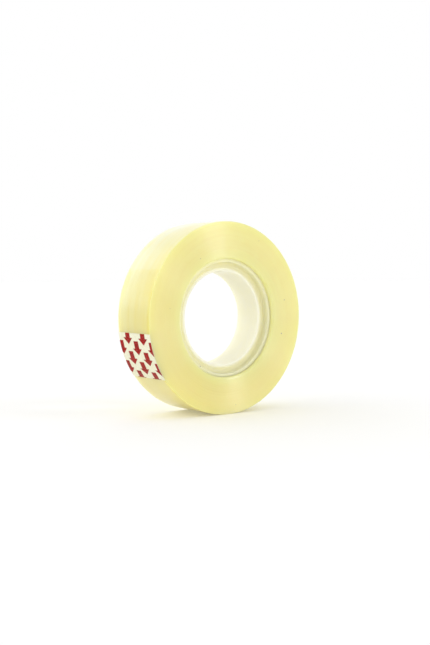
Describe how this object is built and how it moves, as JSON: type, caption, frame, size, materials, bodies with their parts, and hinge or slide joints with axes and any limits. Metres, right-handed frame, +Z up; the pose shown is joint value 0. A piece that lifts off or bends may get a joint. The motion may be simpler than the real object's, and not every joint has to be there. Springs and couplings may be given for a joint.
{
  "type": "roll of adhesive tape",
  "caption": "Roll of clear adhesive tape on a moulded plastic core with a one-inch bore, with a printed starter tab under its free end.",
  "frame": {"origin": "centre of the roll, on the axis of the core's bore and midway between the two faces", "axes": "+Y along the bore axis, from the front face to the back face; +Z up, with the roll standing on its rim; the tape's free end is on the -X side"},
  "size_m": [0.0539, 0.015, 0.0539],
  "materials": {
    "tape_film": "clear film with pale yellow adhesive, glossy on the rim and finely lined on the wound faces",
    "core_plastic": "milky translucent moulded plastic, satin",
    "printed_slip": "white film slip printed with rows of red arrows"
  },
  "bodies": {
    "roll": {"core": "core_plastic", "tape_winding": "tape_film"},
    "lead": {"tape_lead": "tape_film"},
    "tab": {"tape_end": "tape_film", "starter_tab": "printed_slip"}
  },
  "joints": [
    {"name": "lead_peel", "type": "hinge", "parent": "roll", "child": "lead", "pos_m": [-0.02339, 0, 0.0135], "axis": [0, 1, 0], "range_deg": [0, 60]},
    {"name": "tab_lift", "type": "hinge", "parent": "lead", "child": "tab", "pos_m": [-0.02702, 0, 0], "axis": [0, 1, 0], "range_deg": [0, 90], "stiffness_Nm_per_rad": 0.00002}
  ]
}
